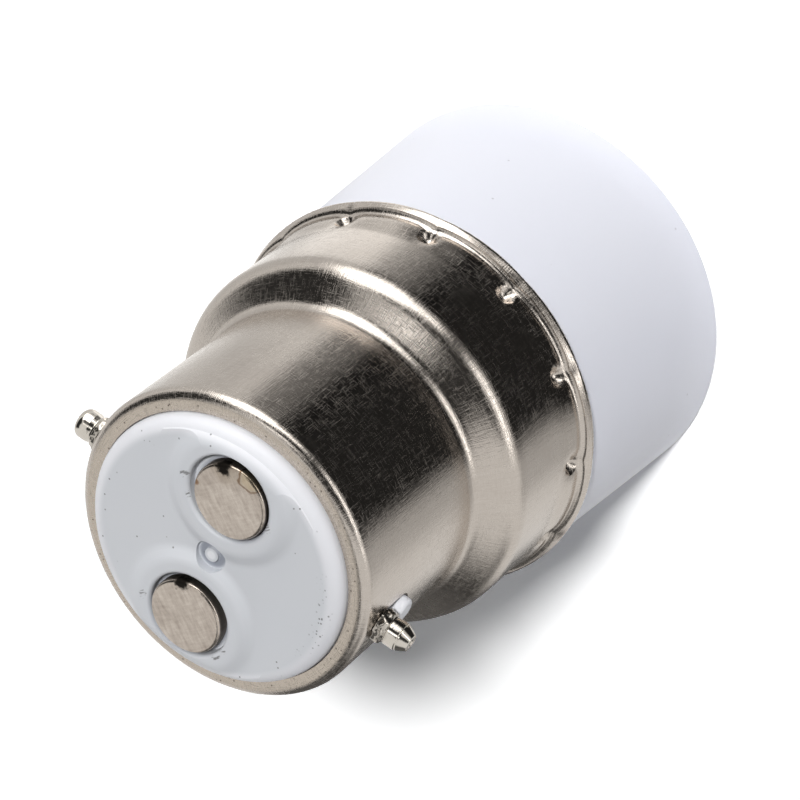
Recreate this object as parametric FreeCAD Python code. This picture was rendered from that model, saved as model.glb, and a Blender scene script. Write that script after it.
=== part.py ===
"""Lamp socket adapter: a bayonet cap crimped on to a white holder that takes a screw-cap bulb.

Millimetres. It stands on its open mouth: z = 0 is the rim of the mouth, and +Z runs along the
axis to the two bayonet contacts. The bayonet pins lie along X and the contacts along Y.
"""

import FreeCAD, Part
import math
import os

from FreeCAD import Vector

# Screw shell: the rolled sleeve that a screw-cap bulb turns into
SHEET = 0.25
THREAD_MAJOR_R = 13.25
THREAD_DEPTH = 1.0
THREAD_PITCH = 3.629
THREAD_LENGTH = 13.1
THREAD_RUNOUT = 1.6
COLLAR_PLAY = 0.1
COLLAR_LENGTH = 1.8
COLLAR_TAPER = 0.9
MOUTH_LIP = 0.8
SLEEVE_GAP = 0.05
FOOT_WIDTH = 4.4
FOOT_RISE = 7.8
FOOT_REACH = 2.3
FOOT_GAP = 0.1

# Housing: the white moulding that holds the shell and carries the cap
MOUTH_WALL = 1.35
MOUTH_ROUND_R = 0.5
MOUTH_EDGE_R = 0.2
SEAT_STEP = 0.35
NECK_WALL = 1.19
NECK_GAP = 0.06
NECK_ROUND_R = 1.2
NECK_GROOVE_DEPTH = 0.5
NECK_GROOVE_HEIGHT = 2.3
NECK_GROOVE_R = 0.4
FLOOR_THICK = 2.3
CAVITY_STEP = 0.25
CAVITY_CORNER_R = 0.5

# Bayonet cap: a pressed, nickel-plated shell
BARREL_R = 11.05
BARREL_LENGTH = 13.2
CAP_SHEET = 0.35
RIM_BEND_R = 0.75
RIM_WIDTH = 1.4
SHOULDER_LENGTH = 1.7
SHOULDER_FILLET_R = 1.2
SHOULDER_ROUND_R = 1.8
SHOULDER_ABOVE_FLOOR = 0.4
SKIRT_LENGTH = 8.2
FLANGE_WIDTH = 1.3
FLANGE_BEND_R = 0.45
FLANGE_INNER_R = 0.15

# Crimp dents that lock the skirt on to the neck
DENT_COUNT = 13
DENT_ABOVE_FLANGE = 1.15
DENT_R = 0.75
DENT_DEPTH = 0.4
DENT_FIRST_DEG = 16.3

# Bayonet pins, and the insulator's pegs that share their slots
PIN_R = 1.05
PIN_BELOW_FACE = 2.6
PIN_STANDOUT = 2.37
PIN_TIP_FLAT_R = 0.5
PIN_TIP_ROUND_R = 0.12
PIN_CHAMFER = 0.55
PIN_DEPTH = 2.45
PIN_FIT = 0.02
PIN_COLLAR_R = 1.25
PIN_COLLAR_LENGTH = 0.75
PIN_COLLAR_TAPER = 0.3
PIN_COLLAR_ROUND_R = 0.15
PEG_R = 0.87
PEG_GAP = 0.08
PEG_STANDOUT = 0.55
PEG_ROUND_R = 0.3
SLOT_CLEARANCE = 0.05

# End insulator: the moulded plug that closes the cap
PLUG_CLEARANCE = 0.08
PLUG_DEPTH = 6.6
PLUG_FRONT = 3.2
PLUG_WALL = 1.7
PLUG_CORNER_R = 0.5
PLUG_FOOT_R = 0.3
PLUG_INNER_R = 0.6
BOSS_WALL = 1.0
BOSS_REACH = 1.2
FACE_RISE = 1.05
FACE_ROUND_R = 1.0
FACE_GAP = 0.05
ISLAND_RISE = 0.4
ISLAND_LAND = 1.0
ISLAND_SLOPE_RUN = 0.9
ISLAND_BLEND_R = 1.2
ISLAND_EDGE_GAP = 0.9
GATE_R = 1.12
GATE_DEPTH = 0.3
GATE_NUB_R = 0.5
GATE_NUB_DROP = 0.05

# Contact buttons, a little off the middle of their wells as they are riveted
CONTACT_SPREAD = 5.2
BUTTON_R = 2.7
BUTTON_THICK = 0.95
BUTTON_BEVEL = 0.2
BUTTON_PROUD = 0.15
WELL_CLEARANCE = 0.3
WELL_ROUND_R = 0.25
LINE_SHIFT = (0.2, -0.04)
NEUTRAL_SHIFT = (-0.12, -0.18)
SHANK_R = 1.4
SHANK_FIT = 0.04
SHANK_PAST_PLUG = 1.2

# Foot rivet and ring terminal
RIVET_INSET = 2.8
RIVET_R = 1.0
RIVET_FIT = 0.03
RIVET_HEAD_R = 1.8
RIVET_HEAD = 0.6
RIVET_HEAD_ROUND_R = 0.35
RIVET_TAIL_R = 1.4
RIVET_TAIL = 0.5
RIVET_TAIL_ROUND_R = 0.2
TERMINAL_R = 1.9
TERMINAL_THICK = 0.4
TERMINAL_REACH = 2.6
TERMINAL_TAG_WIDTH = 2.3

# Centre contact: one folded strip, sprung about the slot in the floor
STRIP_THICK = 0.4
STRIP_WIDTH = 4.6
HINGE_Y = 6.5
TONGUE_SLOPE_DEG = 14.0
TONGUE_LENGTH = 8.2
TONGUE_NOSE_R = 1.4
NOSE_RUN = 1.3
NOSE_LIFT = 0.77
STRIP_BEND_R = 0.5
STRIP_DROP = 0.75
TAIL_LENGTH = 2.9
TAIL_GAP = 0.35
STRIP_SLOT_PLAY = 0.1
STRIP_SLOT_SWING = 0.45

# Leads and their solder joints
CORE_R = 0.3
LEAD_R = 0.6
LEAD_BARE = 0.7
LEAD_BOW = 0.25
SOLDER_R = 1.15
SOLDER_HEIGHT = 1.3
SOLDER_ROUND_R = 0.8
SOLDER_GAP = 0.45

# Heights up the axis, from the mouth to the contacts
THREAD_START_Z = MOUTH_LIP + COLLAR_LENGTH
LEDGE_Z = THREAD_START_Z + THREAD_LENGTH
FLOOR_Z = LEDGE_Z + FOOT_RISE
FLOOR_BACK_Z = FLOOR_Z + FLOOR_THICK
SHOULDER_FOOT_Z = FLOOR_BACK_Z + SHOULDER_ABOVE_FLOOR
SHOULDER_TOP_Z = SHOULDER_FOOT_Z + SHOULDER_LENGTH
CAP_FACE_Z = SHOULDER_TOP_Z + BARREL_LENGTH
FLANGE_Z = SHOULDER_FOOT_Z - SKIRT_LENGTH
FLANGE_TOP_Z = FLANGE_Z + CAP_SHEET
DENT_Z = FLANGE_Z + DENT_ABOVE_FLANGE
PIN_Z = CAP_FACE_Z - PIN_BELOW_FACE
PEG_Z = PIN_Z - PIN_COLLAR_R - PEG_GAP - PEG_R
PLUG_TOP_Z = CAP_FACE_Z - CAP_SHEET - FACE_GAP
PLUG_BOTTOM_Z = PLUG_TOP_Z - PLUG_DEPTH
PLUG_FLOOR_Z = PLUG_TOP_Z - PLUG_FRONT
FACE_Z = CAP_FACE_Z + FACE_RISE
ISLAND_Z = FACE_Z + ISLAND_RISE
BUTTON_TOP_Z = ISLAND_Z + BUTTON_PROUD
BUTTON_SEAT_Z = BUTTON_TOP_Z - BUTTON_THICK
SHANK_END_Z = PLUG_FLOOR_Z - SHANK_PAST_PLUG
TERMINAL_TOP_Z = FLOOR_BACK_Z + TERMINAL_THICK
TAIL_TOP_Z = FLOOR_BACK_Z + TAIL_GAP + STRIP_THICK

# Screw shell and housing: the bulb's thread sets them from the inside outwards
THREAD_MINOR_R = THREAD_MAJOR_R - THREAD_DEPTH
COLLAR_R = THREAD_MAJOR_R + COLLAR_PLAY
COLLAR_OUTER_R = COLLAR_R + SHEET
THREAD_OUTER_R = THREAD_MAJOR_R + SHEET
SLEEVE_OUTER_R = THREAD_MINOR_R + SHEET
SLEEVE_CAVITY_R = COLLAR_OUTER_R + SLEEVE_GAP
THREAD_CAVITY_R = THREAD_OUTER_R + SLEEVE_GAP
GROOVE_R = THREAD_DEPTH
RIDGE_R = GROOVE_R + SHEET
MOUTH_R = SLEEVE_CAVITY_R + MOUTH_WALL
CAVITY_R = THREAD_MINOR_R - CAVITY_STEP
RIVET_Y = CAVITY_R - RIVET_INSET
FOOT_END_Y = RIVET_Y - FOOT_REACH
NECK_R = CAVITY_R + NECK_WALL

# The cap's skirt fits the neck
SKIRT_BORE_R = NECK_R + NECK_GAP
SKIRT_R = SKIRT_BORE_R + CAP_SHEET
SHOULDER_SEAT_R = SKIRT_R + SEAT_STEP
FLANGE_R = SKIRT_R + FLANGE_WIDTH

# The barrel sets the plug, the pins and the pegs
BORE_R = BARREL_R - CAP_SHEET
END_OPENING_R = BARREL_R - RIM_WIDTH
PLUG_R = BORE_R - PLUG_CLEARANCE
PLUG_BORE_R = PLUG_R - PLUG_WALL
FACE_R = END_OPENING_R - FACE_GAP
PIN_TIP_R = BARREL_R + PIN_STANDOUT
PIN_INNER_X = BARREL_R - PIN_DEPTH
PEG_TIP_R = BARREL_R + PEG_STANDOUT
WELL_R = BUTTON_R + WELL_CLEARANCE
ISLAND_TOP_R = WELL_R + ISLAND_LAND
ISLAND_BASE_R = ISLAND_TOP_R + ISLAND_SLOPE_RUN
SLOT_HALF_WIDTH = PIN_R + SLOT_CLEARANCE
PIN_BORE_R = PIN_R + PIN_FIT
SHANK_HOLE_R = SHANK_R + SHANK_FIT
RIVET_HOLE_R = RIVET_R + RIVET_FIT
BOSS_INNER_X = PIN_INNER_X - BOSS_REACH

# How far a cutting tool runs past what it cuts, and how much of a round is kept as a true arc
PAST = 1.0
FULL_ROUND = 0.98


def at(shape, x=0.0, y=0.0, z=0.0):
    """A copy of the shape moved by x, y and z."""
    moved = shape.copy()
    moved.translate(Vector(x, y, z))
    return moved


def cylinder(radius, z_low, z_high, x=0.0, y=0.0):
    """A cylinder along Z between two heights."""
    return Part.makeCylinder(radius, z_high - z_low, Vector(x, y, z_low))


def cylinder_along_x(radius, x_low, x_high, z):
    """A cylinder along X between two distances from the axis."""
    return Part.makeCylinder(radius, x_high - x_low, Vector(x_low, 0, z), Vector(1, 0, 0))


def box(x_low, x_high, y_low, y_high, z_low, z_high):
    """A box between its two corners."""
    return Part.makeBox(x_high - x_low, y_high - y_low, z_high - z_low, Vector(x_low, y_low, z_low))


def arc(start, corner, end, radius):
    """The start, middle and end of the arc that rounds a corner with this radius."""
    to_start = (start - corner).normalize()
    to_end = (end - corner).normalize()
    half = to_start.getAngle(to_end) / 2
    reach = radius / math.tan(half)
    centre = corner + (to_start + to_end).normalize() * (radius / math.sin(half))
    middle = centre + (corner - centre).normalize() * radius
    return corner + to_start * reach, middle, corner + to_end * reach


def profile(corners):
    """A closed wire through corners (r, z) or (r, z, rounding radius), in the plane of X and Z."""
    points = [Vector(corner[0], 0, corner[1]) for corner in corners]
    edges = []
    runs = []
    for i, corner in enumerate(corners):
        first = points[i]
        last = points[i]
        if len(corner) > 2:
            after = points[(i + 1) % len(points)]
            first, middle, last = arc(points[i - 1], points[i], after, corner[2])
            edges.append(Part.Arc(first, middle, last).toShape())
        runs.append((first, last))
    for i, (_, last) in enumerate(runs):
        first = runs[(i + 1) % len(runs)][0]
        if last.distanceToPoint(first) > 1e-7:
            edges.append(Part.LineSegment(last, first).toShape())
    return Part.Wire(Part.__sortEdges__(edges))


def turned(corners):
    """The solid made by turning a profile round the Z axis."""
    return Part.Face(profile(corners)).revolve(Vector(0, 0, 0), Vector(0, 0, 1), 360)


def turned_about_x(corners):
    """A turned solid whose axis is X: the corners are (radius, distance along X)."""
    solid = turned(corners)
    solid.rotate(Vector(0, 0, 0), Vector(0, 1, 0), 90)
    return solid


def opposite(shape):
    """The shape turned half a turn round Z."""
    other = shape.copy()
    other.rotate(Vector(0, 0, 0), Vector(0, 0, 1), 180)
    return other


def dent_tool(radius):
    """One dent at angle zero: an upright flute from the flange with a ball end."""
    x = SKIRT_R + DENT_R - DENT_DEPTH
    return cylinder(radius, FLANGE_TOP_Z, DENT_Z, x).fuse(Part.makeSphere(radius, Vector(x, 0, DENT_Z)))


def round_the_skirt(tool):
    """Copies of a tool at every dent's angle."""
    copies = []
    for i in range(DENT_COUNT):
        copy = tool.copy()
        copy.rotate(Vector(0, 0, 0), Vector(0, 0, 1), DENT_FIRST_DEG + 360.0 * i / DENT_COUNT)
        copies.append(copy)
    return copies


def slot_cutter():
    """The slot through the right side of the barrel that the pin and the insulator's peg share."""
    inner = BORE_R - PAST
    outer = BARREL_R + PAST
    ends = [cylinder_along_x(SLOT_HALF_WIDTH, inner, outer, z) for z in (PIN_Z, PEG_Z)]
    middle = box(inner, outer, -SLOT_HALF_WIDTH, SLOT_HALF_WIDTH, PEG_Z, PIN_Z)
    return middle.fuse(ends)


def cap_shell():
    """The pressed cap: rim, barrel, shoulder, skirt and flange in one sheet, with dents and slots."""
    slope = math.atan2(SKIRT_R - BARREL_R, SHOULDER_LENGTH)
    lean = CAP_SHEET * math.tan(slope / 2)
    bead_r = CAP_SHEET / 2 * FULL_ROUND
    sheet = turned([
        (END_OPENING_R, CAP_FACE_Z),
        (BARREL_R, CAP_FACE_Z, RIM_BEND_R),
        (BARREL_R, SHOULDER_TOP_Z, SHOULDER_FILLET_R),
        (SKIRT_R, SHOULDER_FOOT_Z, SHOULDER_ROUND_R),
        (SKIRT_R, FLANGE_TOP_Z, FLANGE_BEND_R),
        (FLANGE_R, FLANGE_TOP_Z, bead_r),
        (FLANGE_R, FLANGE_Z, bead_r),
        (SKIRT_BORE_R, FLANGE_Z, FLANGE_INNER_R),
        (SKIRT_BORE_R, SHOULDER_FOOT_Z - lean, SHOULDER_ROUND_R - CAP_SHEET),
        (BORE_R, SHOULDER_TOP_Z - lean, SHOULDER_FILLET_R + CAP_SHEET),
        (BORE_R, CAP_FACE_Z - CAP_SHEET, RIM_BEND_R - CAP_SHEET),
        (END_OPENING_R, CAP_FACE_Z - CAP_SHEET),
    ])
    backing = dent_tool(DENT_R + CAP_SHEET)
    inside = cylinder(SKIRT_R - CAP_SHEET / 2, FLANGE_TOP_Z, SHOULDER_FOOT_Z)
    sheet = sheet.fuse(round_the_skirt(backing.common(inside)))
    sheet = sheet.cut(round_the_skirt(dent_tool(DENT_R)))
    slot = slot_cutter()
    return sheet.cut([slot, opposite(slot)]).removeSplitter()


def bayonet_pin():
    """The right-hand pin: its shank in the plug, a staked collar on the barrel and a chamfered tip."""
    length = PIN_TIP_R - PIN_INNER_X
    pin = turned_about_x([
        (0.0, 0.0),
        (PIN_R, 0.0),
        (PIN_R, length - PIN_CHAMFER),
        (PIN_TIP_FLAT_R, length, PIN_TIP_ROUND_R),
        (0.0, length),
    ])
    collar_start = BORE_R - PIN_INNER_X
    collar_end = BARREL_R + PIN_COLLAR_LENGTH - PIN_INNER_X
    collar = turned_about_x([
        (0.0, collar_start),
        (PIN_COLLAR_R, collar_start),
        (PIN_COLLAR_R, collar_end - PIN_COLLAR_TAPER, PIN_COLLAR_ROUND_R),
        (PIN_R, collar_end),
        (0.0, collar_end),
    ])
    barrel = cylinder(BARREL_R, -2 * PIN_COLLAR_R, 2 * PIN_COLLAR_R, -PIN_INNER_X)
    pin = pin.fuse(collar.cut(barrel)).removeSplitter()
    return at(pin, PIN_INNER_X, 0, PIN_Z)


def island(side, limit):
    """The raised round field about one contact, blended softly into the face."""
    rise = turned([
        (0.0, FACE_Z - ISLAND_RISE),
        (ISLAND_BASE_R + ISLAND_BLEND_R, FACE_Z - ISLAND_RISE),
        (ISLAND_BASE_R + ISLAND_BLEND_R, FACE_Z),
        (ISLAND_BASE_R, FACE_Z, ISLAND_BLEND_R),
        (ISLAND_TOP_R, ISLAND_Z, ISLAND_BLEND_R),
        (0.0, ISLAND_Z),
    ])
    return at(rise, 0, side * CONTACT_SPREAD).common(limit)


def contact_well(side, shift):
    """What a contact takes out of the plug: its well with a rounded brim, and the shank's hole."""
    brim = WELL_R + WELL_ROUND_R + WELL_CLEARANCE
    well = turned([
        (0.0, BUTTON_SEAT_Z),
        (WELL_R, BUTTON_SEAT_Z),
        (WELL_R, ISLAND_Z, WELL_ROUND_R),
        (brim, ISLAND_Z),
        (brim, ISLAND_Z + PAST),
        (0.0, ISLAND_Z + PAST),
    ])
    y = side * CONTACT_SPREAD
    hole = cylinder(SHANK_HOLE_R, PLUG_FLOOR_Z - PAST, ISLAND_Z, shift[0], y + shift[1])
    return at(well, 0, y).fuse(hole)


def end_insulator():
    """The moulded plug: rounded face, two islands with wells, gate mark, pin bosses and pegs."""
    body = turned([
        (0.0, PLUG_FLOOR_Z),
        (PLUG_BORE_R, PLUG_FLOOR_Z, PLUG_INNER_R),
        (PLUG_BORE_R, PLUG_BOTTOM_Z),
        (PLUG_R, PLUG_BOTTOM_Z, PLUG_FOOT_R),
        (PLUG_R, PLUG_TOP_Z, PLUG_CORNER_R),
        (FACE_R, PLUG_TOP_Z),
        (FACE_R, FACE_Z, FACE_ROUND_R),
        (0.0, FACE_Z),
    ])
    limit = turned([
        (0.0, FACE_Z - FACE_ROUND_R),
        (FACE_R - FACE_GAP, FACE_Z - FACE_ROUND_R),
        (FACE_R - ISLAND_EDGE_GAP, ISLAND_Z, FACE_ROUND_R),
        (0.0, ISLAND_Z),
    ])
    root_x = PLUG_R - PLUG_WALL / 2
    boss = cylinder_along_x(PIN_R + BOSS_WALL, BOSS_INNER_X, root_x, PIN_Z)
    peg = cylinder_along_x(PEG_R, root_x, PEG_TIP_R, PEG_Z)
    outer_edge = max(peg.Edges, key=lambda edge: edge.BoundBox.XMin)
    peg = peg.makeFillet(PEG_ROUND_R, [outer_edge])
    bore = cylinder_along_x(PIN_BORE_R, PIN_INNER_X, BARREL_R, PIN_Z)
    gate = cylinder(GATE_R, FACE_Z - GATE_DEPTH, FACE_Z + PAST)
    nub = cylinder(GATE_NUB_R, FACE_Z - GATE_DEPTH, FACE_Z - GATE_NUB_DROP)
    added = [boss, opposite(boss), peg, opposite(peg), island(1, limit), island(-1, limit)]
    wells = [contact_well(1, LINE_SHIFT), contact_well(-1, NEUTRAL_SHIFT)]
    body = body.fuse(added)
    return body.cut(wells + [bore, opposite(bore), gate.cut(nub)]).removeSplitter()


def contact_button(side, shift):
    """A flat contact with a bevelled edge, and the shank that carries it through the plug."""
    button = turned([
        (0.0, SHANK_END_Z),
        (SHANK_R, SHANK_END_Z),
        (SHANK_R, BUTTON_SEAT_Z),
        (BUTTON_R, BUTTON_SEAT_Z),
        (BUTTON_R, BUTTON_TOP_Z - BUTTON_BEVEL),
        (BUTTON_R - BUTTON_BEVEL, BUTTON_TOP_Z),
        (0.0, BUTTON_TOP_Z),
    ])
    return at(button, shift[0], side * CONTACT_SPREAD + shift[1])


def housing():
    """The white moulding: tapered outside, grooved neck, socket cavity and slotted floor."""
    groove_top = FLANGE_TOP_Z + NECK_GROOVE_HEIGHT
    groove_r = NECK_R - NECK_GROOVE_DEPTH
    moulding = turned([
        (SLEEVE_CAVITY_R, 0.0, MOUTH_EDGE_R),
        (MOUTH_R, 0.0, MOUTH_ROUND_R),
        (SHOULDER_SEAT_R, FLANGE_Z),
        (NECK_R, FLANGE_Z),
        (NECK_R, FLANGE_TOP_Z),
        (groove_r, FLANGE_TOP_Z),
        (groove_r, groove_top, NECK_GROOVE_R),
        (NECK_R, groove_top + NECK_GROOVE_DEPTH),
        (NECK_R, FLOOR_BACK_Z, NECK_ROUND_R),
        (0.0, FLOOR_BACK_Z),
        (0.0, FLOOR_Z),
        (CAVITY_R, FLOOR_Z, CAVITY_CORNER_R),
        (CAVITY_R, LEDGE_Z),
        (THREAD_CAVITY_R, LEDGE_Z),
        (THREAD_CAVITY_R, THREAD_START_Z + COLLAR_TAPER),
        (SLEEVE_CAVITY_R, THREAD_START_Z),
    ])
    half_foot = FOOT_WIDTH / 2 + FOOT_GAP
    channel = box(-half_foot, half_foot, -SLEEVE_OUTER_R - FOOT_GAP, -FOOT_END_Y, LEDGE_Z - PAST, FLOOR_Z)
    half_strip = STRIP_WIDTH / 2 + STRIP_SLOT_PLAY
    slot_near = HINGE_Y - STRIP_THICK / 2 - STRIP_SLOT_PLAY
    slot_far = HINGE_Y + STRIP_THICK / 2 + STRIP_SLOT_SWING
    slot = box(-half_strip, half_strip, slot_near, slot_far, FLOOR_Z - PAST, FLOOR_BACK_Z + PAST)
    rivet_hole = cylinder(RIVET_HOLE_R, FLOOR_Z - PAST, FLOOR_BACK_Z + PAST, 0, -RIVET_Y)
    return moulding.cut([channel, slot, rivet_hole]).removeSplitter()


def thread_cord(radius, z_high):
    """A round cord wound along the thread, from below the mouth up to a height."""
    z_low = THREAD_START_Z - THREAD_PITCH
    path = Part.makeLongHelix(THREAD_PITCH, z_high - z_low, THREAD_MINOR_R)
    ring = Part.Wire(Part.makeCircle(radius, Vector(THREAD_MINOR_R, 0, 0), Vector(0, 1, 0)))
    return at(path.makePipeShell([ring], True, True), 0, 0, z_low)


def sleeve_core(collar_r, neck_r, z_low, taper_z, z_high):
    """A solid plug of the sleeve's outline: the collar, its taper and the plain wall of the thread."""
    return turned([
        (0.0, z_low),
        (collar_r, z_low),
        (collar_r, taper_z),
        (neck_r, taper_z + COLLAR_TAPER),
        (neck_r, z_high),
        (0.0, z_high),
    ])


def screw_shell():
    """The rolled sleeve: plain collar, rolled thread of even sheet, and the foot under the floor.

    The thread starts inside the collar, so both helices begin below the mouth, where the plugs
    hide their ends. The inner one stops one sheet short at the top, which closes the last turn.
    """
    below = THREAD_START_Z - 2 * THREAD_PITCH
    thread_top = LEDGE_Z - THREAD_RUNOUT
    end_wall = SHEET * THREAD_PITCH / (2 * math.pi * THREAD_MINOR_R)
    outside = sleeve_core(COLLAR_OUTER_R, SLEEVE_OUTER_R, below, THREAD_START_Z, LEDGE_Z)
    outside = outside.fuse(thread_cord(RIDGE_R, thread_top))
    outside = outside.cut(cylinder(COLLAR_OUTER_R + PAST, below - PAST, MOUTH_LIP))
    inner_taper_z = THREAD_START_Z - SHEET / 2
    inside = sleeve_core(COLLAR_R, THREAD_MINOR_R, below - PAST, inner_taper_z, LEDGE_Z + PAST)
    inside = inside.fuse(thread_cord(GROOVE_R, thread_top - end_wall))
    sleeve = outside.cut(inside)
    half = FOOT_WIDTH / 2
    strap_low = LEDGE_Z - 2 * SHEET
    strap = box(-half, half, -SLEEVE_OUTER_R, -CAVITY_R / 2, strap_low, FLOOR_Z)
    strap = strap.common(cylinder(SLEEVE_OUTER_R, strap_low, FLOOR_Z))
    strap = strap.cut(cylinder(THREAD_MINOR_R, strap_low - PAST, FLOOR_Z + PAST))
    pad = box(-half, half, -SLEEVE_OUTER_R, -FOOT_END_Y, FLOOR_Z - SHEET, FLOOR_Z)
    pad = pad.common(cylinder(SLEEVE_OUTER_R, FLOOR_Z - PAST, FLOOR_Z + PAST))
    pad = pad.cut(cylinder(RIVET_HOLE_R, FLOOR_Z - PAST, FLOOR_Z + PAST, 0, -RIVET_Y))
    return sleeve.fuse([strap, pad])


def foot_rivet():
    """The rivet through the screw shell's foot, the floor and the ring terminal."""
    head_low = FLOOR_Z - SHEET - RIVET_HEAD
    rivet = turned([
        (0.0, head_low),
        (RIVET_HEAD_R, head_low, RIVET_HEAD_ROUND_R),
        (RIVET_HEAD_R, FLOOR_Z - SHEET),
        (RIVET_R, FLOOR_Z - SHEET),
        (RIVET_R, TERMINAL_TOP_Z),
        (RIVET_TAIL_R, TERMINAL_TOP_Z),
        (RIVET_TAIL_R, TERMINAL_TOP_Z + RIVET_TAIL, RIVET_TAIL_ROUND_R),
        (0.0, TERMINAL_TOP_Z + RIVET_TAIL),
    ])
    return at(rivet, 0, -RIVET_Y)


def foot_terminal():
    """The ring terminal behind the floor, with the tag that takes the neutral lead."""
    ring = cylinder(TERMINAL_R, FLOOR_BACK_Z, TERMINAL_TOP_Z, 0, -RIVET_Y)
    half = TERMINAL_TAG_WIDTH / 2
    tag_end = -RIVET_Y + TERMINAL_R + TERMINAL_REACH
    tag = box(-half, half, -RIVET_Y, tag_end, FLOOR_BACK_Z, TERMINAL_TOP_Z)
    hole = cylinder(RIVET_HOLE_R, FLOOR_BACK_Z - PAST, TERMINAL_TOP_Z + PAST, 0, -RIVET_Y)
    return ring.fuse(tag).cut(hole).removeSplitter()


def auto_radii(points):
    """The radius at each inner point of a route: as large as the shorter run beside it allows."""
    radii = []
    for before, here, after in zip(points, points[1:], points[2:]):
        run = min((here - before).Length, (after - here).Length)
        turn = (here - before).getAngle(after - here)
        radii.append(0.45 * run / math.tan(turn / 2))
    return radii


def rounded_path(points, radii):
    """A wire of straight runs joined by tangent arcs, one radius for each inner point."""
    edges = []
    here = points[0]
    for i, radius in enumerate(radii):
        first, middle, last = arc(points[i], points[i + 1], points[i + 2], radius)
        edges.append(Part.LineSegment(here, first).toShape())
        edges.append(Part.Arc(first, middle, last).toShape())
        here = last
    edges.append(Part.LineSegment(here, points[-1]).toShape())
    return Part.Wire(edges)


def centre_contact():
    """The folded strip: sloping tongue with a rounded nose, leg through the floor and bent tail."""
    slope = math.radians(TONGUE_SLOPE_DEG)
    root_z = FLOOR_Z - STRIP_DROP
    nose_y = HINGE_Y - TONGUE_LENGTH * math.cos(slope)
    nose_z = root_z - TONGUE_LENGTH * math.sin(slope)
    tail_z = TAIL_TOP_Z - STRIP_THICK / 2
    route = [
        Vector(0, nose_y - NOSE_RUN, nose_z + NOSE_LIFT),
        Vector(0, nose_y, nose_z),
        Vector(0, HINGE_Y, root_z),
        Vector(0, HINGE_Y, tail_z),
        Vector(0, HINGE_Y - TAIL_LENGTH, tail_z),
    ]
    path = rounded_path(route, [TONGUE_NOSE_R, STRIP_BEND_R, STRIP_BEND_R])
    along = (route[1] - route[0]).normalize()
    side = Vector(STRIP_WIDTH / 2, 0, 0)
    up = along.cross(Vector(1, 0, 0)) * (STRIP_THICK / 2)
    start = route[0]
    corners = [start + side + up, start - side + up, start - side - up, start + side - up]
    section = Part.makePolygon(corners + corners[:1])
    return path.makePipeShell([section], True, True)


def lead(top, bottom, bow):
    """A lead from one solder joint down to another, gently bowed: its core and its sleeve."""
    drop = Vector(0, 0, (bottom.z - top.z) / 4)
    middle = (top + bottom) / 2 + Vector(bow, 0, 0)
    route = [top, top + drop, middle, bottom - drop, bottom]
    radii = auto_radii(route)
    bare = drop.normalize() * LEAD_BARE
    covered = [top + bare] + route[1:-1] + [bottom - bare]
    core = round_sweep(rounded_path(route, radii), CORE_R)
    sleeve = round_sweep(rounded_path(covered, radii), LEAD_R)
    print("lead radii", [round(radius, 2) for radius in radii])
    return core, sleeve.cut(core)


def round_sweep(path, radius):
    """A round section swept along a path that starts straight down."""
    start = path.Edges[0].firstVertex().Point
    ring = Part.Wire(Part.makeCircle(radius, start, Vector(0, 0, 1)))
    return path.makePipeShell([ring], True, True)


def solder_joint(x, y, z, up):
    """A rounded solder joint on the surface at z, standing up from it or hanging down from it."""
    blob = turned([
        (0.0, 0.0),
        (SOLDER_R, 0.0),
        (SOLDER_R, SOLDER_HEIGHT, SOLDER_ROUND_R),
        (0.0, SOLDER_HEIGHT),
    ])
    if not up:
        blob.rotate(Vector(0, 0, 0), Vector(1, 0, 0), 180)
    return at(blob, x, y, z)


def build():
    """Every node of the adapter by name."""
    nodes = {}
    nodes["housing"] = housing()
    nodes["cap_shell"] = cap_shell()
    nodes["end_insulator"] = end_insulator()
    nodes["contact_button_line"] = contact_button(1, LINE_SHIFT)
    nodes["contact_button_neutral"] = contact_button(-1, NEUTRAL_SHIFT)
    nodes["bayonet_pin_right"] = bayonet_pin()
    nodes["bayonet_pin_left"] = opposite(nodes["bayonet_pin_right"])
    nodes["screw_shell"] = screw_shell()
    nodes["centre_contact"] = centre_contact()
    nodes["foot_rivet"] = foot_rivet()
    nodes["foot_terminal"] = foot_terminal()

    # The line lead runs from its button to the centre contact's tail
    line_x = LINE_SHIFT[0]
    line_y = CONTACT_SPREAD + LINE_SHIFT[1]
    tail_y = HINGE_Y - TAIL_LENGTH / 2
    tail_joint_z = TAIL_TOP_Z + SOLDER_GAP
    nodes["solder_line_button"] = solder_joint(line_x, line_y, SHANK_END_Z, False)
    nodes["solder_centre_tail"] = solder_joint(0, tail_y, tail_joint_z, True)
    line_top = Vector(line_x, line_y, SHANK_END_Z - SOLDER_HEIGHT)
    line_bottom = Vector(0, tail_y, tail_joint_z + SOLDER_HEIGHT)
    nodes["line_lead_core"], nodes["line_lead_sleeve"] = lead(line_top, line_bottom, LEAD_BOW)

    # The neutral lead runs from its button to the ring terminal's tag
    neutral_x = NEUTRAL_SHIFT[0]
    neutral_y = -CONTACT_SPREAD + NEUTRAL_SHIFT[1]
    tag_y = -RIVET_Y + TERMINAL_R + TERMINAL_REACH - SOLDER_R
    nodes["solder_neutral_button"] = solder_joint(neutral_x, neutral_y, SHANK_END_Z, False)
    nodes["solder_foot_terminal"] = solder_joint(0, tag_y, TERMINAL_TOP_Z, True)
    neutral_top = Vector(neutral_x, neutral_y, SHANK_END_Z - SOLDER_HEIGHT)
    neutral_bottom = Vector(0, tag_y, TERMINAL_TOP_Z + SOLDER_HEIGHT)
    nodes["neutral_lead_core"], nodes["neutral_lead_sleeve"] = lead(neutral_top, neutral_bottom, -LEAD_BOW)
    return nodes


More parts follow.
